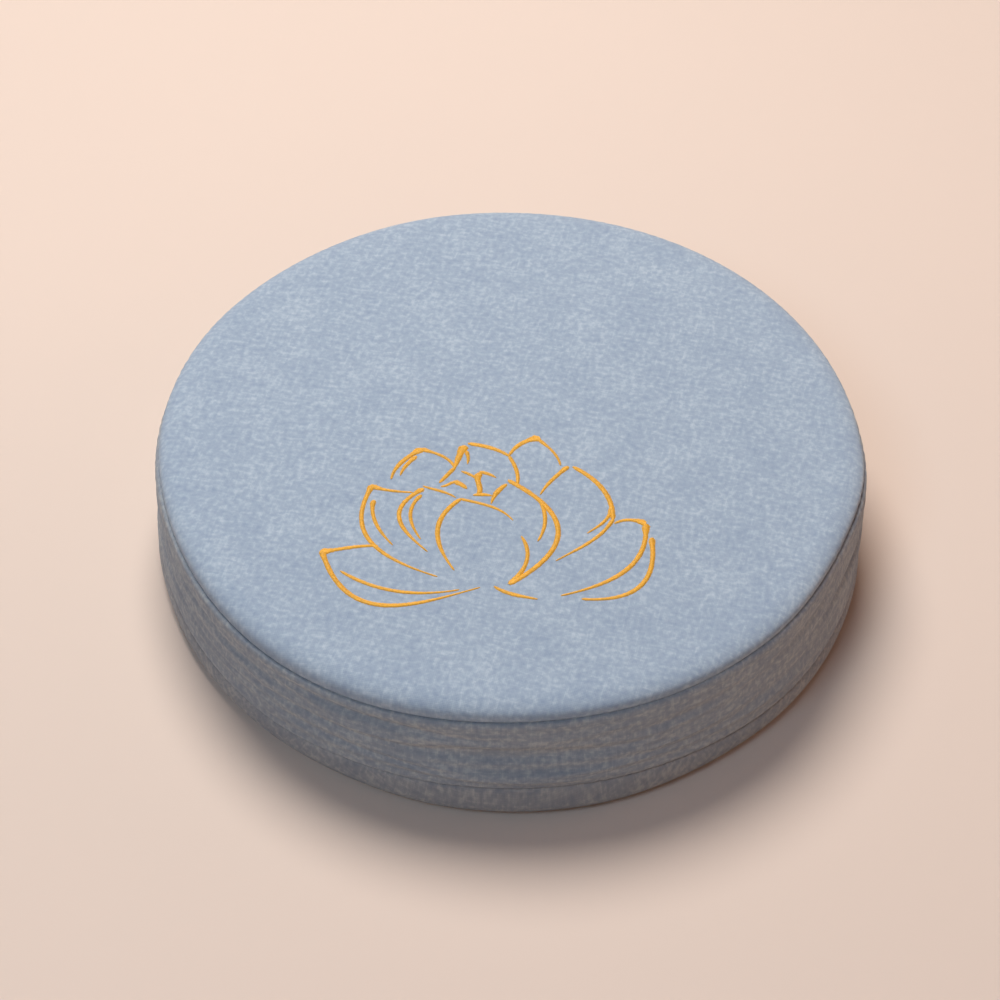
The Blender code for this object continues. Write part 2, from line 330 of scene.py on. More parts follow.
class CushionCloth(bpy.types.PropertyGroup):
    """The slub cloth that all three covers are cut from."""

    thread_spacing: FloatProperty(
        name="Thread spacing", description="From one thread to the next; drawn coarser than the real 0.6 mm",
        default=0.0009, min=0.0003, max=0.005, unit="LENGTH", precision=5)
    slub_length: FloatProperty(
        name="Slub length", description="How far a thick or pale stretch of a thread runs",
        default=0.011, min=0.001, max=0.1, unit="LENGTH")
    dark_thread: colour_setting("Dark thread", "The bluest of the yarns", "8492A5")
    mid_thread: colour_setting("Middle thread", "The yarn most of the cloth is made of", "929FAE")
    pale_thread: colour_setting("Pale thread", "The palest slubs", "A8B3BE")
    # painted shade: the side band is the top's cloth; this colour darkens and warms it to paint the shade it
    # stands in and the warm light bounced onto it
    side_painted_shade: colour_setting("Side tone", "What the side band's greyer cloth is multiplied by", "F8EEE4")
    # painted shade: the bottom cover is the top's cloth too; this colour darkens and warms it further to
    # paint the deeper shade on its downward-facing roll
    base_painted_shade: colour_setting(
        "Base tone", "What the bottom cover's cloth, greyer still, is multiplied by", "F4E4D6")
    pucker_height: FloatProperty(
        name="Pucker height", description="How high the cloth puckers where it is eased into a seam",
        default=0.00035, min=0.0, max=0.003, unit="LENGTH", precision=5)


class CushionFlower(bpy.types.PropertyGroup):
    """The stitched lotus."""

    middle: FloatVectorProperty(
        name="Middle", description="Where the flower's middle is on the top face",
        default=(-0.011, -0.067), size=2, unit="LENGTH")
    stitch_spacing: FloatProperty(
        name="Stitch spacing", description="From one satin stitch to the next",
        default=0.00050, min=0.0002, max=0.003, unit="LENGTH", precision=5)
    thread_thickness: FloatProperty(
        name="Thread thickness", description="Width of one embroidery thread as it lies",
        default=0.00054, min=0.0001, max=0.003, unit="LENGTH", precision=5)
    stitch_rise: FloatProperty(
        name="Stitch rise", description="How high a stitch stands over the cloth",
        default=0.00050, min=0.0, max=0.003, unit="LENGTH", precision=5)
    thread_colour: colour_setting("Thread colour", "Golden yellow thread", "F2B12A")


class CushionStudio(bpy.types.PropertyGroup):
    """Floor, lights and camera."""

    floor_colour: colour_setting(
        "Floor colour", "Pale, warm studio floor, which the band is lit by from below", "D2BFB2")
    key_power: FloatProperty(
        name="Key light", description="Power of the large light above and behind",
        default=62.0, min=0.0, unit="POWER")
    lens: FloatProperty(
        name="Lens", description="Focal length on a 36 mm wide sensor, in millimetres",
        default=99.60, min=10.0)
    elevation: FloatProperty(
        name="Elevation", description="How far above the horizon the camera looks from",
        default=math.radians(46.11), subtype="ANGLE")
    roll: FloatProperty(
        name="Roll", description="How far the camera is turned about its own line of sight",
        default=math.radians(1.59), subtype="ANGLE")
    distance: FloatProperty(
        name="Distance", description="From the camera to the point it is aimed at",
        default=1.6, min=0.1, unit="LENGTH")
    steps_around: IntProperty(
        name="Steps around", description="Facets around each cover", default=960, min=24)


SETTINGS = (
    ("cushion_cloth", CushionCloth),
    ("cushion_flower", CushionFlower),
    ("cushion_studio", CushionStudio),
)


# -------- the covers' lines

def quarter_curve(corner, reach_out, reach_up, steps, squareness=2.0):
    """A quarter of a rounded curve about corner, from straight up (or down) of it to straight out."""
    points = []
    for step in range(steps + 1):
        turn = math.pi / 2 * step / steps
        out = math.sin(turn) ** (2 / squareness)
        up = max(math.cos(turn), 0.0) ** (2 / squareness)
        points.append((corner[0] + reach_out * out, corner[1] + reach_up * up))
    return points


def top_face_line(crown_rows, roll_rows, tuck_rows):
    """The top cover's outer face from the middle to the upper seam, as (radius, height) points."""
    flat = RADIUS - TOP_ROLL_WIDTH
    crown = THICKNESS - TOP_ROLL_START
    line = []
    for row in range(crown_rows):
        share = (row / crown_rows) ** CROWN_ROW_SPREAD
        line.append((flat * share, THICKNESS - crown * share ** CROWN_POWER))
    line += quarter_curve(
        (flat, TOP_ROLL_WIDEST), TOP_ROLL_WIDTH, TOP_ROLL_START - TOP_ROLL_WIDEST, roll_rows,
        TOP_ROLL_SQUARENESS)
    tuck = quarter_curve(
        (RADIUS - UPPER_SEAM_DRAWN_IN, TOP_ROLL_WIDEST), UPPER_SEAM_DRAWN_IN,
        UPPER_SEAM_HEIGHT - TOP_ROLL_WIDEST, tuck_rows)
    return line + tuck[-2::-1]


def bottom_face_line(roll_rows, tuck_rows, flat_rows):
    """The bottom cover's outer face from the lower seam down to the middle of the base."""
    tuck = quarter_curve(
        (BOTTOM_RADIUS - LOWER_SEAM_DRAWN_IN, BOTTOM_ROLL_WIDEST), LOWER_SEAM_DRAWN_IN,
        LOWER_SEAM_HEIGHT - BOTTOM_ROLL_WIDEST, tuck_rows)
    flat = BOTTOM_RADIUS - BOTTOM_ROLL_WIDTH
    roll = quarter_curve(
        (flat, BOTTOM_ROLL_WIDEST), BOTTOM_ROLL_WIDTH, -BOTTOM_ROLL_WIDEST, roll_rows,
        BOTTOM_ROLL_SQUARENESS)
    base = [(flat * (1.0 - row / flat_rows), 0.0) for row in range(1, flat_rows + 1)]
    return tuck + roll[-2::-1] + base


def band_face_line(rows):
    """The band cover's outer face from the upper seam to the lower one."""
    top = UPPER_SEAM_HEIGHT - SEAM_SLIT
    foot = LOWER_SEAM_HEIGHT + SEAM_SLIT
    upper_seam = RADIUS - UPPER_SEAM_DRAWN_IN
    lower_seam = BOTTOM_RADIUS - LOWER_SEAM_DRAWN_IN
    shoulder = quarter_curve(
        (upper_seam, top - BAND_SHOULDER), BAND_RADIUS_HIGH - upper_seam, BAND_SHOULDER, 7)
    ankle = quarter_curve(
        (lower_seam, foot + BAND_FOOT), BAND_RADIUS_LOW - lower_seam, -BAND_FOOT, 7)
    high = top - BAND_SHOULDER
    low = foot + BAND_FOOT
    wall = []
    for row in range(1, rows):
        share = row / rows
        radius = BAND_RADIUS_HIGH + (BAND_RADIUS_LOW - BAND_RADIUS_HIGH) * share
        wall.append((radius, high + (low - high) * share))
    return shoulder + wall + ankle[::-1]


def set_in(line, depth):
    """A line parallel to line and depth further inside; the covers' lines all run clockwise."""
    moved = []
    for index, (radius, height) in enumerate(line):
        before = line[max(index - 1, 0)]
        after = line[min(index + 1, len(line) - 1)]
        along = Vector((after[0] - before[0], after[1] - before[1])).normalized()
        moved.append((max(radius + along.y * depth, 0.0), height - along.x * depth))
    return moved


def top_inside_line(depth):
    """The line depth under the top cover's outer face, ending straight inside the seam."""
    tuck_rows = 3
    line = set_in(top_face_line(6, 6, tuck_rows), depth)[:-tuck_rows]
    line[0] = (0.0, THICKNESS - depth)
    return line + [(RADIUS - depth, UPPER_SEAM_HEIGHT)]


def bottom_inside_line(depth):
    """The line depth inside the bottom cover's outer face, beginning straight under the seam."""
    line = set_in(bottom_face_line(5, 2, 2), depth)
    line[0] = (BOTTOM_RADIUS - LOWER_SEAM_DRAWN_IN, LOWER_SEAM_HEIGHT - depth)
    line[-1] = (0.0, depth)
    return line


def filled_band_line():
    """The band cover and what it closes over, and where in that line its face starts and ends."""
    crown = top_inside_line(CLOTH + GAP)
    base = bottom_inside_line(CLOTH + GAP)
    base[0] = (base[0][0] - GAP, base[0][1])
    face = band_face_line(44)
    under_seam = [(crown[-1][0], face[0][1])]
    over_seam = [(base[0][0], face[-1][1])]
    first = len(crown) + len(under_seam)
    return crown + under_seam + face + over_seam + base, first, first + len(face) - 1


# -------- how the cloth lies

def smooth_step(value):
    held = np.clip(value, 0.0, 1.0)
    return held * held * (3.0 - 2.0 * held)


def along_stretch(angle, at, reach):
    """Where angles are on a stretch around the cushion: 0 is its middle, -1 and 1 are its ends."""
    return (np.mod(angle - math.radians(at) + math.pi, math.tau) - math.pi) / math.radians(reach)


def hump(angle, at, reach):
    """1 at the middle of a stretch around the cushion, falling softly to 0 at its ends."""
    along = along_stretch(angle, at, reach)
    return np.where(np.abs(along) < 1.0, (1.0 - np.minimum(along * along, 1.0)) ** 2, 0.0)


def out_of_round(angle, radius, height):
    """How far points lie outside the true circle."""
    high = smooth_step((height - LOWER_SEAM_HEIGHT) / (UPPER_SEAM_HEIGHT - LOWER_SEAM_HEIGHT))
    reach = np.zeros_like(angle)
    for lobes, peak, at_top, at_base in LOBES:
        reach += (at_base + (at_top - at_base) * high) * MM * np.cos(lobes * (angle - math.radians(peak)))
    for at, length, at_top, at_base in OUTLINE_SWELLS:
        reach += (at_base + (at_top - at_base) * high) * MM * hump(angle, at, length)
    return reach * (radius / RADIUS) ** 4


def lift(x, y, angle, radius, height):
    """How far the top edge, the top seam and the top face rise or sink."""
    high = smooth_step((height - 0.5 * THICKNESS) / (UPPER_SEAM_HEIGHT - 0.5 * THICKNESS))
    rise = np.zeros_like(angle)
    for lobes, peak, wave in SEAM_WAVES:
        rise += wave * MM * np.cos(lobes * (angle - math.radians(peak))) * (radius / RADIUS) ** 4
    for swell_x, swell_y, reach, swell in TOP_SWELLS:
        away = ((x - swell_x) ** 2 + (y - swell_y) ** 2) / reach ** 2
        rise += swell * MM * np.exp(-2.0 * away)
    return rise * high


def seam_slide(angle, height):
    """How far the cloth near a seam rises or sinks with it; the middle of the top face and the base stay."""
    by_upper = smooth_step(np.minimum(
        (THICKNESS - height) / (THICKNESS - UPPER_SEAM_HEIGHT),
        1.0 - (UPPER_SEAM_HEIGHT - height) / SEAM_SLIDE_REACH))
    by_lower = smooth_step(np.minimum(
        (height - BOTTOM_ROLL_WIDEST) / (LOWER_SEAM_HEIGHT - BOTTOM_ROLL_WIDEST),
        1.0 - (height - LOWER_SEAM_HEIGHT) / SEAM_SLIDE_REACH))
    slide = np.zeros_like(angle)
    for share, stretches in ((by_upper, UPPER_SEAM_SLIDES), (by_lower, LOWER_SEAM_SLIDES)):
        for at, reach, rise in stretches:
            slide += share * rise * MM * hump(angle, at, reach)
    return slide


def fold_depth(angle, height):
    """How deep the band's folds press in at places on its face."""
    risen = height + seam_slide(angle, height)
    depth = np.zeros_like(angle)
    for at, reach, middle, climb, width, deep in FOLDS:
        along = along_stretch(angle, at, reach)
        across = (risen - (middle + climb * along) * MM) / (width * MM)
        depth += deep * MM * hump(angle, at, reach) * np.exp(-across * across)
    to_seam = np.minimum(height - LOWER_SEAM_HEIGHT, UPPER_SEAM_HEIGHT - height) / BAND_SHOULDER
    return depth * smooth_step(to_seam)


def puckers(angle, height, seam_height, reach, seed):
    """Small gathers that run away from a seam, as cloth eased into it makes; -1 to 1."""
    draw = random.Random(seed)
    wave = np.zeros_like(angle)
    for count in PUCKERS_AROUND:
        swell = 0.5 + 0.5 * np.cos(draw.choice((3, 4, 5, 7)) * angle + draw.uniform(0.0, math.tau))
        wave += swell * np.cos(count * angle + draw.uniform(0.0, math.tau)) / 2.4
    near = np.exp(-np.abs(height - seam_height) / reach)
    return wave * near


def outline_middle():
    """The middle of the uneven outline's box, which the cushion is centred by."""
    angle = np.radians(np.arange(0.0, 360.0, 4.5))
    spots = []
    for radius, height in ((RADIUS, TOP_ROLL_WIDEST), (BOTTOM_RADIUS, BOTTOM_ROLL_WIDEST)):
        wide = radius + out_of_round(angle, np.full_like(angle, radius), np.full_like(angle, height))
        spots.append(np.stack([wide * np.cos(angle), wide * np.sin(angle)], axis=1))
    spots = np.concatenate(spots)
    return (spots.min(axis=0) + spots.max(axis=0)) / 2


def settle(mesh, along, pucker_height, wrinkles):
    """Move a turned mesh's points to where the uneven, folded cloth has them."""
    x, y, height = read_points(mesh).T
    radius = np.hypot(x, y)
    angle = np.arctan2(y, x)
    wider = radius + out_of_round(angle, radius, height)
    higher = height + lift(x, y, angle, radius, height) + seam_slide(angle, height)
    if wrinkles:
        start, end, out, up = wrinkles
        on_face = (along > start) & (along < end)
        row = (along - start) / (end - start) * (len(out) - 1)
        step = np.mod(angle, math.tau) / math.tau * out.shape[1]
        wider += np.where(on_face, between_points(out, row, step), 0.0)
        higher += np.where(on_face, between_points(up, row, step), 0.0)
        closing = (angle - math.radians(CLOSING_SEAM)) * RADIUS / CLOSING_SEAM_WIDTH
        wider -= np.where(on_face, CLOSING_SEAM_DEPTH * np.exp(-closing * closing), 0.0)
    rim = smooth_step((radius - PUCKER_RIM) / PUCKER_RIM_WIDTH)
    gather = puckers(angle, height, UPPER_SEAM_HEIGHT, UPPER_PUCKER_REACH, seed=11)
    gather += LOWER_PUCKER_SHARE * puckers(angle, height, LOWER_SEAM_HEIGHT, LOWER_PUCKER_REACH, seed=12)
    not_in_seam = smooth_step(np.minimum(
        np.abs(height - UPPER_SEAM_HEIGHT), np.abs(height - LOWER_SEAM_HEIGHT)) / SEAM_LINE_WIDTH)
    wider += pucker_height * gather * rim * not_in_seam
    scale = np.where(radius > 0.0, wider / np.maximum(radius, 1e-9), 1.0)
    middle = outline_middle()
    settled = np.stack([x * scale - middle[0], y * scale - middle[1], higher], axis=1)
    mesh.vertices.foreach_set("co", settled.astype(np.float32).ravel())
    mesh.update()


def lay_cloth_map(mesh, along, flat_round):
    """A UV map in metres of cloth: a disc for the round covers, a strip for the band."""
    cloth_map = mesh.uv_layers.new(name="cloth")
    corners = np.zeros(len(mesh.loops), np.int32)
    mesh.loops.foreach_get("vertex_index", corners)
    places = read_points(mesh)
    angle = np.arctan2(places[:, 1], places[:, 0])[corners]
    length = along[corners]
    if flat_round:
        mapped = np.stack([np.cos(angle) * length, np.sin(angle) * length], axis=1)
    else:
        starts = np.zeros(len(mesh.polygons), np.int32)
        sizes = np.zeros(len(mesh.polygons), np.int32)
        mesh.polygons.foreach_get("loop_start", starts)
        mesh.polygons.foreach_get("loop_total", sizes)
        opening = math.radians(CLOSING_SEAM)
        turned = np.mod(angle - opening, math.tau)
        first = np.repeat(turned[starts], sizes)
        turned = np.where(turned - first > math.pi, turned - math.tau, turned)
        turned = np.where(first - turned > math.pi, turned + math.tau, turned)
        mapped = np.stack([turned * RADIUS, length], axis=1)
    cloth_map.data.foreach_set("uv", mapped.astype(np.float32).ravel())


def line_lengths(line):
    """How far along a line each of its points is."""
    lengths = [0.0]
    for before, after in zip(line, line[1:]):
        lengths.append(lengths[-1] + math.dist(before, after))
    return lengths


def full_turn(line, lengths, steps):
    """A line spun once around the cushion's axis: an eighth first, doubled three times and merged."""
    eighth = math.tau / 8
    shape = bmesh.new()
    stretch = shape.verts.layers.float.new("along")
    corners = []
    for (radius, height), length in zip(line, lengths):
        corner = shape.verts.new((radius, 0.0, height))
        corner[stretch] = length
        corners.append(corner)
    edges = [shape.edges.new(pair) for pair in zip(corners, corners[1:])]
    bmesh.ops.spin(
        shape, geom=corners + edges, cent=(0.0, 0.0, 0.0), axis=(0.0, 0.0, 1.0),
        dvec=(0.0, 0.0, 0.0), angle=eighth, steps=steps // 8, use_merge=False)
    for turn in (eighth, 2 * eighth, 4 * eighth):
        copy = bmesh.ops.duplicate(shape, geom=shape.verts[:] + shape.edges[:] + shape.faces[:])
        corners = [item for item in copy["geom"] if isinstance(item, bmesh.types.BMVert)]
        bmesh.ops.rotate(shape, verts=corners, cent=(0.0, 0.0, 0.0), matrix=Matrix.Rotation(turn, 3, "Z"))
    bmesh.ops.remove_doubles(shape, verts=shape.verts[:], dist=0.000002)
    bmesh.ops.recalc_face_normals(shape, faces=shape.faces[:])
    return shape


def read_points(mesh):
    """A mesh's points as an array of places."""
    places = np.zeros(len(mesh.vertices) * 3, np.float32)
    mesh.vertices.foreach_get("co", places)
    return places.reshape(-1, 3).astype(float)


def close_shape(shape, name):
    """Make a mesh of a finished bmesh and let the bmesh go."""
    mesh = bpy.data.meshes.new(name)
    shape.to_mesh(mesh)
    shape.free()
    return mesh


def add_object(name, data):
    """Put a mesh, a light or a camera in the scene."""
    added = bpy.data.objects.new(name, data)
    bpy.context.scene.collection.objects.link(added)
    return added


def turned_cover(name, line, lengths, material, flat_round, wrinkles=None):
    """Spin a cover's line around the cushion's axis, lay it as the cloth lies and add it."""
    scene = bpy.context.scene
    shape = full_turn(line, lengths, scene.cushion_studio.steps_around)
    stretch = shape.verts.layers.float["along"]
    along = np.array([vertex[stretch] for vertex in shape.verts])
    mesh = close_shape(shape, name)
    lay_cloth_map(mesh, along, flat_round)
    settle(mesh, along, scene.cushion_cloth.pucker_height, wrinkles)
    mesh.shade_smooth()
    mesh.materials.append(material)
    return add_object(name, mesh)


# -------- the band's folds

def soft_noise(rows, steps, waves_up, waves_around, seed):
    """Smooth seeded unevenness over the strip, of about 1 either way."""
    raw = np.random.default_rng(seed).standard_normal((rows, steps))
    around = np.fft.fftfreq(steps) * steps / waves_around
    upward = np.fft.fftfreq(rows)[:, None] * rows / waves_up
    smooth = np.real(np.fft.ifft2(np.fft.fft2(raw) * np.exp(-around ** 2 - upward ** 2)))
    return smooth / smooth.std()


def buckled_strip():
    """Fold the band as real cloth folds: cut taller than its place, then squeezed to its height.

    Gives how far each point of a grid over the band's face moves out and up, row by row from the
    upper seam to the lower one.
    """
    scene = bpy.context.scene
    face = band_face_line(160)
    lengths = line_lengths(face)
    rows = np.linspace(0.0, lengths[-1], STRIP_ROWS)
    radii = np.interp(rows, lengths, [radius for radius, _ in face])
    heights = np.interp(rows, lengths, [height for _, height in face])
    turns = np.arange(STRIP_STEPS) * math.tau / STRIP_STEPS
    angle, radius = np.meshgrid(turns, radii)
    height = np.meshgrid(turns, heights)[1]
    bare = radius + out_of_round(angle, radius, height)
    from_seam = np.minimum(rows, rows[-1] - rows)[:, None] / BAND_SHOULDER
    crumple = soft_noise(STRIP_ROWS, STRIP_STEPS, waves_up=7.0, waves_around=14.0, seed=3)
    crumple = crumple * STRIP_NOISE * np.minimum(from_seam, 1.0)
    folded = bare - STRIP_FOLD_SHARE * fold_depth(angle, height) + crumple
    shape = full_turn(list(zip(radii, heights)), rows, STRIP_STEPS)
    stretch = shape.verts.layers.float["along"]
    row = np.rint(np.array([vertex[stretch] for vertex in shape.verts]) / rows[1]).astype(int)
    mesh = close_shape(shape, "strip")
    points = read_points(mesh)
    step = np.rint(np.arctan2(points[:, 1], points[:, 0]) * STRIP_STEPS / math.tau).astype(int) % STRIP_STEPS
    ease = STRIP_EASE + sum(share * hump(turns, at, reach) for at, reach, share in STRIP_EASES)
    middle = heights.mean()
    tall = middle + (height - middle) * (1.0 + ease)
    cut = np.stack([folded * np.cos(angle), folded * np.sin(angle), tall], axis=-1)[row, step]
    sewn = np.stack([folded * np.cos(angle), folded * np.sin(angle), height], axis=-1)[row, step]
    mesh.vertices.foreach_set("co", cut.astype(np.float32).ravel())
    strip = add_object("strip", mesh)
    strip.shape_key_add(name="cut")
    squeeze = strip.shape_key_add(name="sewn")
    squeeze.data.foreach_set("co", sewn.astype(np.float32).ravel())
    held = strip.vertex_groups.new(name="held")
    at_seam = (row == 0) | (row == STRIP_ROWS - 1)
    held.add([int(index) for index in np.nonzero(at_seam)[0]], 1.0, "REPLACE")
    held.add([int(index) for index in np.nonzero(~at_seam)[0]], STRIP_GRIP, "REPLACE")
    cloth = strip.modifiers.new("cloth", "CLOTH")
    cloth.point_cache.frame_end = STRIP_FRAMES
    for name, value in STRIP_CLOTH:
        setattr(cloth.settings, name, value)
    cloth.settings.effector_weights.gravity = 0.0
    for frame, squeezed in ((1, 0.0), (STRIP_FRAMES // 2, 1.0)):
        squeeze.value = squeezed
        squeeze.keyframe_insert("value", frame=frame)
    for frame in range(1, STRIP_FRAMES + 1):
        scene.frame_set(frame)
    laid = strip.evaluated_get(bpy.context.evaluated_depsgraph_get())
    moved = read_points(laid.data)
    bpy.data.objects.remove(strip)
    bpy.data.meshes.remove(mesh)
    scene.frame_set(1)
    out = np.zeros_like(bare)
    up = np.zeros_like(bare)
    out[row, step] = np.hypot(moved[:, 0], moved[:, 1])
    up[row, step] = moved[:, 2]
    return np.clip(out - bare, -STRIP_REACH, STRIP_REACH), np.clip(up - height, -STRIP_REACH, STRIP_REACH)


def between_points(field, row, step):
    """Read a grid field between its points, smoothly: it wraps around and stops at the seams."""
    rows, steps = field.shape
    row = np.clip(row, 0.0, rows - 1.0)
    first = np.minimum(row.astype(int), rows - 2)
    near = np.floor(step).astype(int)

    def weights(share):
        return (
            ((2.0 - share) * share - 1.0) * share / 2.0,
            ((3.0 * share - 5.0) * share * share + 2.0) / 2.0,
            ((4.0 - 3.0 * share) * share + 1.0) * share / 2.0,
            (share - 1.0) * share * share / 2.0,
        )

    total = np.zeros_like(row)
    for row_shift, row_weight in enumerate(weights(row - first), -1):
        for step_shift, step_weight in enumerate(weights(step - near), -1):
            picked = field[np.clip(first + row_shift, 0, rows - 1), (near + step_shift) % steps]
            total += picked * row_weight * step_weight
    return total


# -------- materials

def linear(colour):
    """An sRGB colour, three values from 0 to 1, made linear, with alpha 1."""
    channels = []
    for channel in colour:
        channels.append(channel / 12.92 if channel <= 0.04045 else ((channel + 0.055) / 1.055) ** 2.4)
    return (*channels, 1.0)


def new_material(name):
    material = bpy.data.materials.new(name)
    material.use_nodes = True
    material.node_tree.nodes.clear()
    return material


def add_node(tree, kind, inputs=None, **settings):
    """Add a node with its settings; an input is a value, or another node's output to link."""
    node = tree.nodes.new(kind)
    for name, value in settings.items():
        setattr(node, name, value)
    for socket, value in (inputs or {}).items():
        if isinstance(value, bpy.types.NodeSocket):
            tree.links.new(value, node.inputs[socket])
        else:
            node.inputs[socket].default_value = value
    return node


def slub_cloth(name, grain_turn, tone=(1.0, 1.0, 1.0), contrast=1.0):
    """Plain-woven linen-look polyester: matt, softly fuzzy, heathered by threads of uneven dye and thickness.

    Real threads lie about 0.6 mm apart; they are drawn a little coarser so that they show. The colour is
    multiplied by tone, three sRGB values of painted shade that darken and warm the side and base, and
    contrast tells how far apart the threads' shades are.
    """
    cloth = bpy.context.scene.cushion_cloth
    spacing = cloth.thread_spacing
    material = new_material(name)
    tree = material.node_tree

    def maths(operation, first, second=0.0, third=0.0):
        inputs = {0: first, 1: second, 2: third}
        return add_node(tree, "ShaderNodeMath", inputs, operation=operation).outputs[0]

    def soft_patches(vector, size, detail):
        """Noise from 0 to 1 whose patches are about size across."""
        noise = add_node(tree, "ShaderNodeTexNoise", {
            "Vector": vector, "Scale": 1.0 / size, "Detail": detail, "Roughness": 0.55})
        return noise.outputs["Fac"]

    cloth_map = add_node(tree, "ShaderNodeUVMap", uv_map="cloth").outputs["UV"]
    threads = add_node(tree, "ShaderNodeMapping", {
        "Vector": cloth_map, "Rotation": (0.0, 0.0, grain_turn),
        "Scale": (1.0 / spacing, 1.0 / spacing, 1.0)}).outputs[0]
    # no thread is quite straight: each wanders by about its own width over 30 mm
    wander = add_node(tree, "ShaderNodeTexNoise", {"Vector": threads, "Scale": 0.03, "Detail": 1.0})
    wandered = add_node(tree, "ShaderNodeVectorMath", {
        0: wander.outputs["Color"], 1: (5.0, 5.0, 0.0), 2: threads}, operation="MULTIPLY_ADD")
    split = add_node(tree, "ShaderNodeSeparateXYZ", {0: wandered.outputs[0]})
    across_warp, across_weft = split.outputs[0], split.outputs[1]
    warp_number = maths("FLOOR", across_warp)
    weft_number = maths("FLOOR", across_weft)
    warp_on_top = maths("FLOORED_MODULO", maths("ADD", warp_number, weft_number), 2.0)
    weft_on_top = maths("SUBTRACT", 1.0, warp_on_top)

    def thread_shade(number, along, seed):
        """How pale and thick a thread is along its length: slubs reach over two or three threads."""
        place = add_node(tree, "ShaderNodeCombineXYZ", {
            0: maths("MULTIPLY", number, 0.45),
            1: maths("MULTIPLY", along, spacing / cloth.slub_length), 2: seed})
        return add_node(tree, "ShaderNodeTexNoise", {
            "Vector": place.outputs[0], "Scale": 1.0, "Detail": 2.0, "Roughness": 0.6}).outputs["Fac"]

    warp_shade = thread_shade(warp_number, across_weft, 3.0)
    weft_shade = thread_shade(weft_number, across_warp, 40.0)
    shade = maths("MULTIPLY", maths("ADD", warp_shade, weft_shade), 0.5)
    top_shade = maths(
        "ADD", maths("MULTIPLY", warp_shade, warp_on_top), maths("MULTIPLY", weft_shade, weft_on_top))
    # the fibres' fuzz blurs the weave in soft specks of 3 mm, and the dye took unevenly over 30 mm
    fuzz = soft_patches(cloth_map, 3.4 * MM, 1.0)
    dye = soft_patches(cloth_map, 30.0 * MM, 2.0)
    heather = 0.5
    for layer, strength in zip((shade, top_shade, fuzz, dye), HEATHER_STRENGTHS):
        heather = maths("MULTIPLY_ADD", maths("SUBTRACT", layer, 0.5), strength * contrast, heather)
    ramp = add_node(tree, "ShaderNodeValToRGB", {"Fac": heather})
    stops = ramp.color_ramp.elements
    stops[0].position = 0.32
    stops[0].color = linear(cloth.dark_thread)
    stops[1].position = 0.68
    stops[1].color = linear(cloth.pale_thread)
    stops.new(0.5).color = linear(cloth.mid_thread)

    def bulge(across, on_top):
        """The round back of a thread: 0 at its edges, 1 over its middle, lower where it passes under."""
        back = maths("SINE", maths("MULTIPLY", maths("FRACT", across), math.pi))
        return maths("MULTIPLY", back, maths("MULTIPLY_ADD", on_top, 0.5, 0.5))

    weave = maths("MAXIMUM", bulge(across_warp, warp_on_top), bulge(across_weft, weft_on_top))
    # painted shade: the colour is darkened by up to 8% in the gaps between threads, where shade would fall
    between = add_node(tree, "ShaderNodeMapRange", {
        "Value": weave, "From Min": 0.2, "From Max": 0.8, "To Min": 0.92, "To Max": 1.0})
    coloured = add_node(tree, "ShaderNodeMix", {
        "Factor": 1.0, "A": ramp.outputs["Color"], "B": between.outputs[0]},
        data_type="RGBA", blend_type="MULTIPLY")
    # painted shade: the colour is multiplied by tone, which darkens and warms the side band's and bottom
    # cover's cloth to paint their shade; the top's is left as it is
    toned = add_node(tree, "ShaderNodeMix", {
        "Factor": 1.0, "A": coloured.outputs["Result"], "B": linear(tone)},
        data_type="RGBA", blend_type="MULTIPLY")
    relief = maths("MULTIPLY_ADD", shade, 1.2, maths("MULTIPLY_ADD", fuzz, 0.8, weave))
    bump = add_node(tree, "ShaderNodeBump", {"Strength": 0.35, "Distance": 0.15 * MM, "Height": relief})
    shader = add_node(tree, "ShaderNodeBsdfPrincipled", {
        "Base Color": toned.outputs["Result"], "Normal": bump.outputs[0], "Roughness": 0.92,
        "Sheen Weight": 0.12, "Sheen Roughness": 0.5, "Specular IOR Level": 0.2})
    add_node(tree, "ShaderNodeOutputMaterial", {"Surface": shader.outputs[0]})
    return material


def satin_thread():
    """Rayon embroidery thread laid side by side: it shines along the stitch and is deep gold between."""
    material = new_material("satin_thread")
    tree = material.node_tree
    flower = bpy.context.scene.cushion_flower
    place = add_node(tree, "ShaderNodeTexCoord")
    worn = add_node(tree, "ShaderNodeTexNoise", {
        "Vector": place.outputs["Object"], "Scale": 900.0, "Detail": 2.0})
    ramp = add_node(tree, "ShaderNodeValToRGB", {"Fac": worn.outputs["Fac"]})
    deep = [channel * 0.90 for channel in flower.thread_colour]
    ramp.color_ramp.elements[0].position = 0.35
    ramp.color_ramp.elements[0].color = linear(deep)
    ramp.color_ramp.elements[1].position = 0.65
    ramp.color_ramp.elements[1].color = linear(flower.thread_colour)
    shader = add_node(tree, "ShaderNodeBsdfPrincipled", {
        "Base Color": ramp.outputs["Color"], "Roughness": 0.48,
        "Sheen Weight": 0.2, "Specular IOR Level": 0.5})
    add_node(tree, "ShaderNodeOutputMaterial", {"Surface": shader.outputs[0]})
    return material


def studio_paint():
    """Matt pale paint of the studio floor, with the faintest unevenness."""
    material = new_material("studio_paint")
    tree = material.node_tree
    place = add_node(tree, "ShaderNodeTexCoord")
    uneven = add_node(tree, "ShaderNodeTexNoise", {"Vector": place.outputs["Object"], "Scale": 3.0})
    colour = bpy.context.scene.cushion_studio.floor_colour
    ramp = add_node(tree, "ShaderNodeValToRGB", {"Fac": uneven.outputs["Fac"]})
    ramp.color_ramp.elements[0].color = linear([channel * 0.99 for channel in colour])
    ramp.color_ramp.elements[1].color = linear(colour)
    shader = add_node(tree, "ShaderNodeBsdfPrincipled", {
        "Base Color": ramp.outputs["Color"], "Roughness": 0.9, "Specular IOR Level": 0.2})
    add_node(tree, "ShaderNodeOutputMaterial", {"Surface": shader.outputs[0]})
    return material


# -------- the lotus

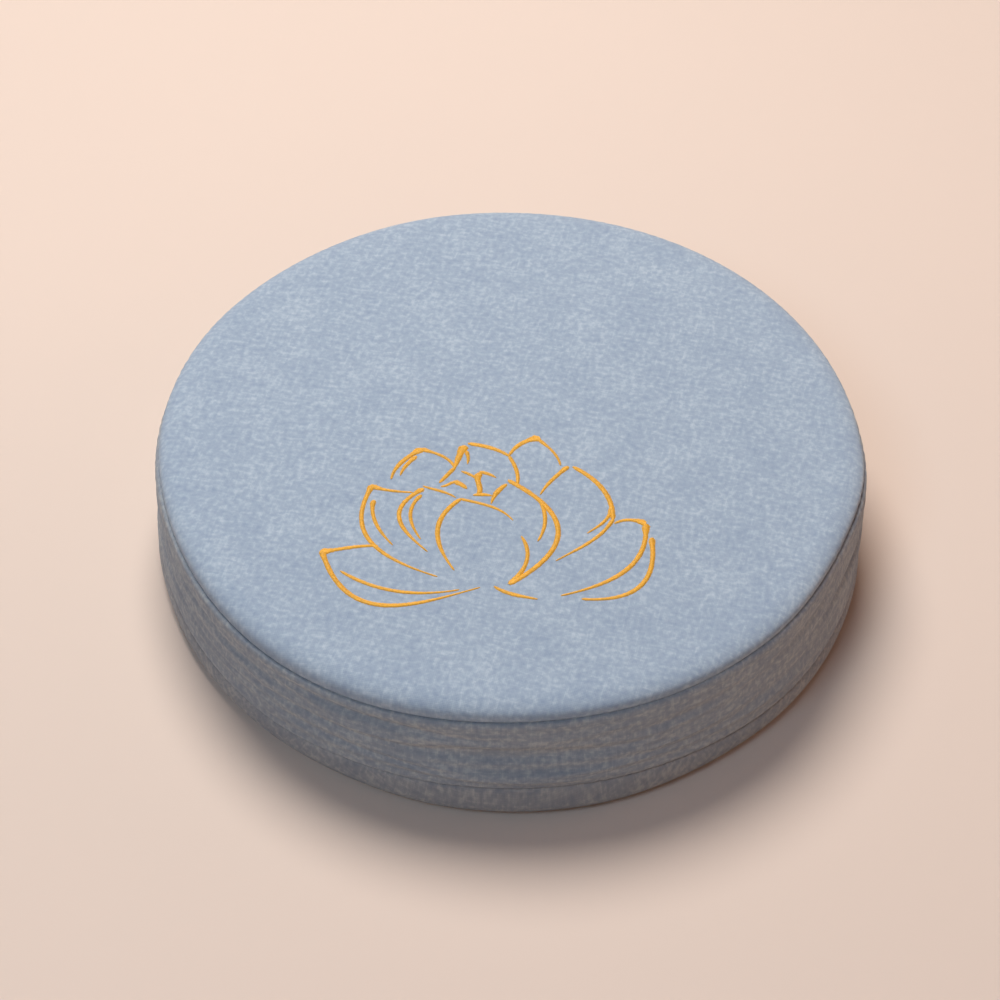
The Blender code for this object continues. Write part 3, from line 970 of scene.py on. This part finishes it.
def stroke_points(stroke, spacing):
    """Places, directions and widths along one stroke of the lotus, in metres."""
    start = Vector(stroke[0:2])
    end = Vector(stroke[2:4])
    bow_near, bow_far, width_start, width_middle, width_end = stroke[4:]
    across = Vector((-(end - start).y, (end - start).x)).normalized()
    handles = (
        start, start.lerp(end, 1 / 3) + across * bow_near, start.lerp(end, 2 / 3) + across * bow_far, end)

    def at(share):
        rest = 1.0 - share
        return (handles[0] * rest ** 3 + handles[1] * 3 * rest ** 2 * share
                + handles[2] * 3 * rest * share ** 2 + handles[3] * share ** 3)

    fine = [at(index / 200) for index in range(201)]
    lengths = [0.0]
    for before, after in zip(fine, fine[1:]):
        lengths.append(lengths[-1] + (after - before).length)
    total = lengths[-1] * MM
    count = max(int(total / spacing), 2)
    found = []
    for index in range(count + 1):
        stitched = lengths[-1] * index / count
        share = float(np.interp(stitched, lengths, np.linspace(0.0, 1.0, 201)))
        ahead = (at(min(share + 0.01, 1.0)) - at(max(share - 0.01, 0.0))).normalized()
        thick = 1.0 - smooth_step(stitched / min(STITCH_KNOT, lengths[-1] / 2))
        thin = smooth_step(2 * stitched / lengths[-1] - 1.0)
        width = width_middle + (width_start - width_middle) * thick + (width_end - width_middle) * thin
        end_round = min(1.0, 0.55 + 0.45 * min(index, count - index) / 3)
        found.append((at(share) * MM, ahead, float(width) * MM * end_round))
    return found


def stitch_form():
    """One satin stitch as a mesh: a thread from -0.5 to 0.5 along X, 1 wide and 1 thick."""
    shape = bmesh.new()
    bmesh.ops.create_cone(
        shape, cap_ends=True, segments=5, radius1=0.5, radius2=0.5, depth=1.0,
        matrix=Matrix.Rotation(math.pi / 2, 4, "Y"))
    lengthwise = [edge for edge in shape.edges if abs(edge.verts[0].co.x - edge.verts[1].co.x) > 0.5]
    bmesh.ops.subdivide_edges(shape, edges=lengthwise, cuts=3)
    bmesh.ops.recalc_face_normals(shape, faces=shape.faces[:])
    return close_shape(shape, "stitch")


def satin_stitches(ground):
    """Every stitch of the lotus as one mesh, lying on the ground, which is the top cover."""
    flower = bpy.context.scene.cushion_flower
    one = stitch_form()
    form = read_points(one)
    arch = 1.0 - (2.0 * form[:, 0]) ** 2
    cloth = BVHTree.FromPolygons(
        [vertex.co for vertex in ground.data.vertices],
        [tuple(face.vertices) for face in ground.data.polygons])
    middle = Vector(flower.middle)
    thread = flower.thread_thickness
    draw = random.Random(5)
    shape = bmesh.new()
    places = []
    for stroke in LOTUS_STROKES:
        for spot, ahead, width in stroke_points(stroke, flower.stitch_spacing):
            x, y = spot + middle
            hit, normal, _, _ = cloth.ray_cast(Vector((x, y, 0.2)), Vector((0.0, 0.0, -1.0)))
            across = Matrix.Rotation(math.pi / 2 + STITCH_SLANT, 2) @ ahead
            lengthways = Vector((across.x, across.y, 0.0))
            lengthways = (lengthways - normal * lengthways.dot(normal)).normalized()
            sideways = normal.cross(lengthways)
            reach = width * draw.uniform(0.95, 1.15)
            fullness = STITCH_RISE_LEAST + STITCH_RISE_ADDED * min(width / STITCH_FULL_WIDTH, 1.0)
            rise = flower.stitch_rise * fullness * draw.uniform(0.95, 1.05)
            up = form[:, 2] * thread * STITCH_FLATNESS + arch * rise - STITCH_SUNK
            places.append(
                np.array(hit) + np.outer(form[:, 0] * reach, lengthways)
                + np.outer(form[:, 1] * thread, sideways) + np.outer(up, normal))
            shape.from_mesh(one)
    mesh = close_shape(shape, "lotus_stitches")
    bpy.data.meshes.remove(one)
    mesh.vertices.foreach_set("co", np.concatenate(places).astype(np.float32).ravel())
    mesh.update()
    mesh.shade_smooth()
    return mesh


# -------- operators

def finish_cover(piece, node):
    """A cover takes its node's place and moves with the cushion."""
    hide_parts(node)
    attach(piece, BODY)


class CUSHION_OT_top_cover(bpy.types.Operator):
    """Make the crowned top cover, rolled over the edge into the upper seam"""

    bl_idname = "cushion.top_cover"
    bl_label = "Top cover"

    def execute(self, context):
        outer = top_face_line(24, 16, 8)
        inner = top_inside_line(CLOTH)
        lengths = line_lengths(outer) + line_lengths(inner)[::-1]
        piece = turned_cover(
            "top_cover", outer + inner[::-1], lengths, slub_cloth("slub_cloth_top", math.radians(13.0)), True)
        finish_cover(piece, "top_panel")
        return {"FINISHED"}


class CUSHION_OT_band_cover(bpy.types.Operator):
    """Make the filled side band with its pressed-in folds"""

    bl_idname = "cushion.band_cover"
    bl_label = "Side band"

    def execute(self, context):
        line, first, last = filled_band_line()
        lengths = line_lengths(line)
        # the band's cloth is darkened and warmed with painted shade
        piece = turned_cover(
            "band_cover", line, lengths,
            slub_cloth("slub_cloth_band", 0.0, context.scene.cushion_cloth.side_painted_shade, SIDE_CONTRAST), False,
            wrinkles=(lengths[first], lengths[last], *buckled_strip()))
        finish_cover(piece, "side_band")
        return {"FINISHED"}


class CUSHION_OT_bottom_cover(bpy.types.Operator):
    """Make the flat bottom cover, rolled up into the lower seam"""

    bl_idname = "cushion.bottom_cover"
    bl_label = "Bottom cover"

    def execute(self, context):
        outer = bottom_face_line(12, 6, 4)
        inner = bottom_inside_line(CLOTH)
        from_middle = line_lengths(outer[::-1])[::-1]
        lengths = line_lengths(inner[::-1]) + from_middle
        # the bottom cover's cloth is darkened and warmed with painted shade
        piece = turned_cover(
            "bottom_cover", inner[::-1] + outer, lengths,
            slub_cloth("slub_cloth_bottom", 0.0, context.scene.cushion_cloth.base_painted_shade, SIDE_CONTRAST), True)
        finish_cover(piece, "bottom_panel")
        return {"FINISHED"}


class CUSHION_OT_lotus(bpy.types.Operator):
    """Stitch the lotus on the top cover in golden satin stitch"""

    bl_idname = "cushion.lotus"
    bl_label = "Stitched lotus"

    def execute(self, context):
        ground = bpy.data.objects.get("top_cover")
        if ground is None:
            raise RuntimeError("the lotus is stitched on the top cover, which isn't there yet")
        mesh = satin_stitches(ground)
        mesh.materials.append(satin_thread())
        piece = add_object("lotus_stitches", mesh)
        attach(piece, BODY)
        return {"FINISHED"}


class CUSHION_OT_studio(bpy.types.Operator):
    """Set the pale floor, the soft lights and the camera"""

    bl_idname = "cushion.studio"
    bl_label = "Studio"

    def execute(self, context):
        studio = context.scene.cushion_studio
        add_floor()
        add_lights(studio)
        add_camera(studio)
        context.scene.view_settings.view_transform = "Standard"
        return {"FINISHED"}


def add_floor():
    """A round studio sweep: a flat floor that curves up into a wall all round."""
    shape = bmesh.new()
    sweep = quarter_curve((FLOOR_RADIUS, FLOOR_SWEEP), FLOOR_SWEEP, -FLOOR_SWEEP, 12)
    line = [(0.0, 0.0), (FLOOR_RADIUS, 0.0), *sweep[1:], (FLOOR_RADIUS + FLOOR_SWEEP, WALL_HEIGHT)]
    corners = [shape.verts.new((radius, 0.0, height - FLOOR_DROP)) for radius, height in line]
    edges = [shape.edges.new(pair) for pair in zip(corners, corners[1:])]
    bmesh.ops.spin(
        shape, geom=corners + edges, cent=(0.0, 0.0, 0.0), axis=(0.0, 0.0, 1.0),
        dvec=(0.0, 0.0, 0.0), angle=math.tau, steps=96, use_merge=True)
    bmesh.ops.remove_doubles(shape, verts=shape.verts[:], dist=0.0001)
    mesh = close_shape(shape, "studio_floor")
    mesh.shade_smooth()
    mesh.materials.append(studio_paint())
    floor = add_object("studio_floor", mesh)


def add_lights(studio):
    """A large soft light above and behind, a bluish one above the front, a faint one right, and warm air."""
    for name, place, size, share, colour in LIGHTS:
        lamp = bpy.data.lights.new(name, "AREA")
        lamp.shape = "DISK"
        lamp.size = size
        lamp.energy = share * studio.key_power
        lamp.color = linear(srgb(colour))[:3]
        light = add_object(name, lamp)
        light.location = place
        light.rotation_euler = (Vector(LIGHTS_AIM) - Vector(place)).to_track_quat("-Z", "Y").to_euler()
    world = bpy.data.worlds.new("studio_world")
    world.use_nodes = True
    background = world.node_tree.nodes["Background"]
    background.inputs["Color"].default_value = linear(srgb(AIR_COLOUR))
    background.inputs["Strength"].default_value = AIR_STRENGTH
    bpy.context.scene.world = world


def add_camera(studio):
    """The camera looks down at the cushion from the front, at the photograph's angle."""
    aim = Vector(CAMERA_AIM)
    back = Vector((0.0, -math.cos(studio.elevation), math.sin(studio.elevation)))
    right = Vector((1.0, 0.0, 0.0))
    up = back.cross(right)
    turned_right = right * math.cos(studio.roll) + up * math.sin(studio.roll)
    turned_up = up * math.cos(studio.roll) - right * math.sin(studio.roll)
    lens = bpy.data.cameras.new("camera")
    lens.lens = studio.lens
    lens.sensor_width = 36.0
    lens.clip_end = 20.0
    camera = add_object("camera", lens)
    axes = Matrix((turned_right, turned_up, back)).transposed().to_4x4()
    camera.matrix_world = Matrix.Translation(aim + back * studio.distance) @ axes
    bpy.context.scene.camera = camera


class VIEW3D_PT_cushion(bpy.types.Panel):
    """The cushion's pieces and settings in the 3D view's sidebar"""

    bl_label = "Cushion"
    bl_idname = "VIEW3D_PT_cushion"
    bl_space_type = "VIEW_3D"
    bl_region_type = "UI"
    bl_category = "Cushion"

    def draw(self, context):
        for setting, group in SETTINGS:
            box = self.layout.box()
            box.label(text=group.__doc__)
            for name in group.__annotations__:
                box.prop(getattr(context.scene, setting), name)
        for operator in OPERATORS:
            self.layout.operator(operator.bl_idname)


OPERATORS = (
    CUSHION_OT_band_cover,
    CUSHION_OT_top_cover,
    CUSHION_OT_bottom_cover,
    CUSHION_OT_lotus,
    CUSHION_OT_studio,
)
CLASSES = (CushionCloth, CushionFlower, CushionStudio, *OPERATORS, VIEW3D_PT_cushion)


def register():
    for item in CLASSES:
        bpy.utils.register_class(item)
    for setting, group in SETTINGS:
        setattr(bpy.types.Scene, setting, PointerProperty(type=group))


def unregister():
    for setting, _ in SETTINGS:
        delattr(bpy.types.Scene, setting)
    for item in reversed(CLASSES):
        bpy.utils.unregister_class(item)


def main():
    register()
    bpy.ops.cushion.band_cover()
    bpy.ops.cushion.top_cover()
    bpy.ops.cushion.bottom_cover()
    bpy.ops.cushion.lotus()
    bpy.ops.cushion.studio()


if __name__ == "__main__":
    main()
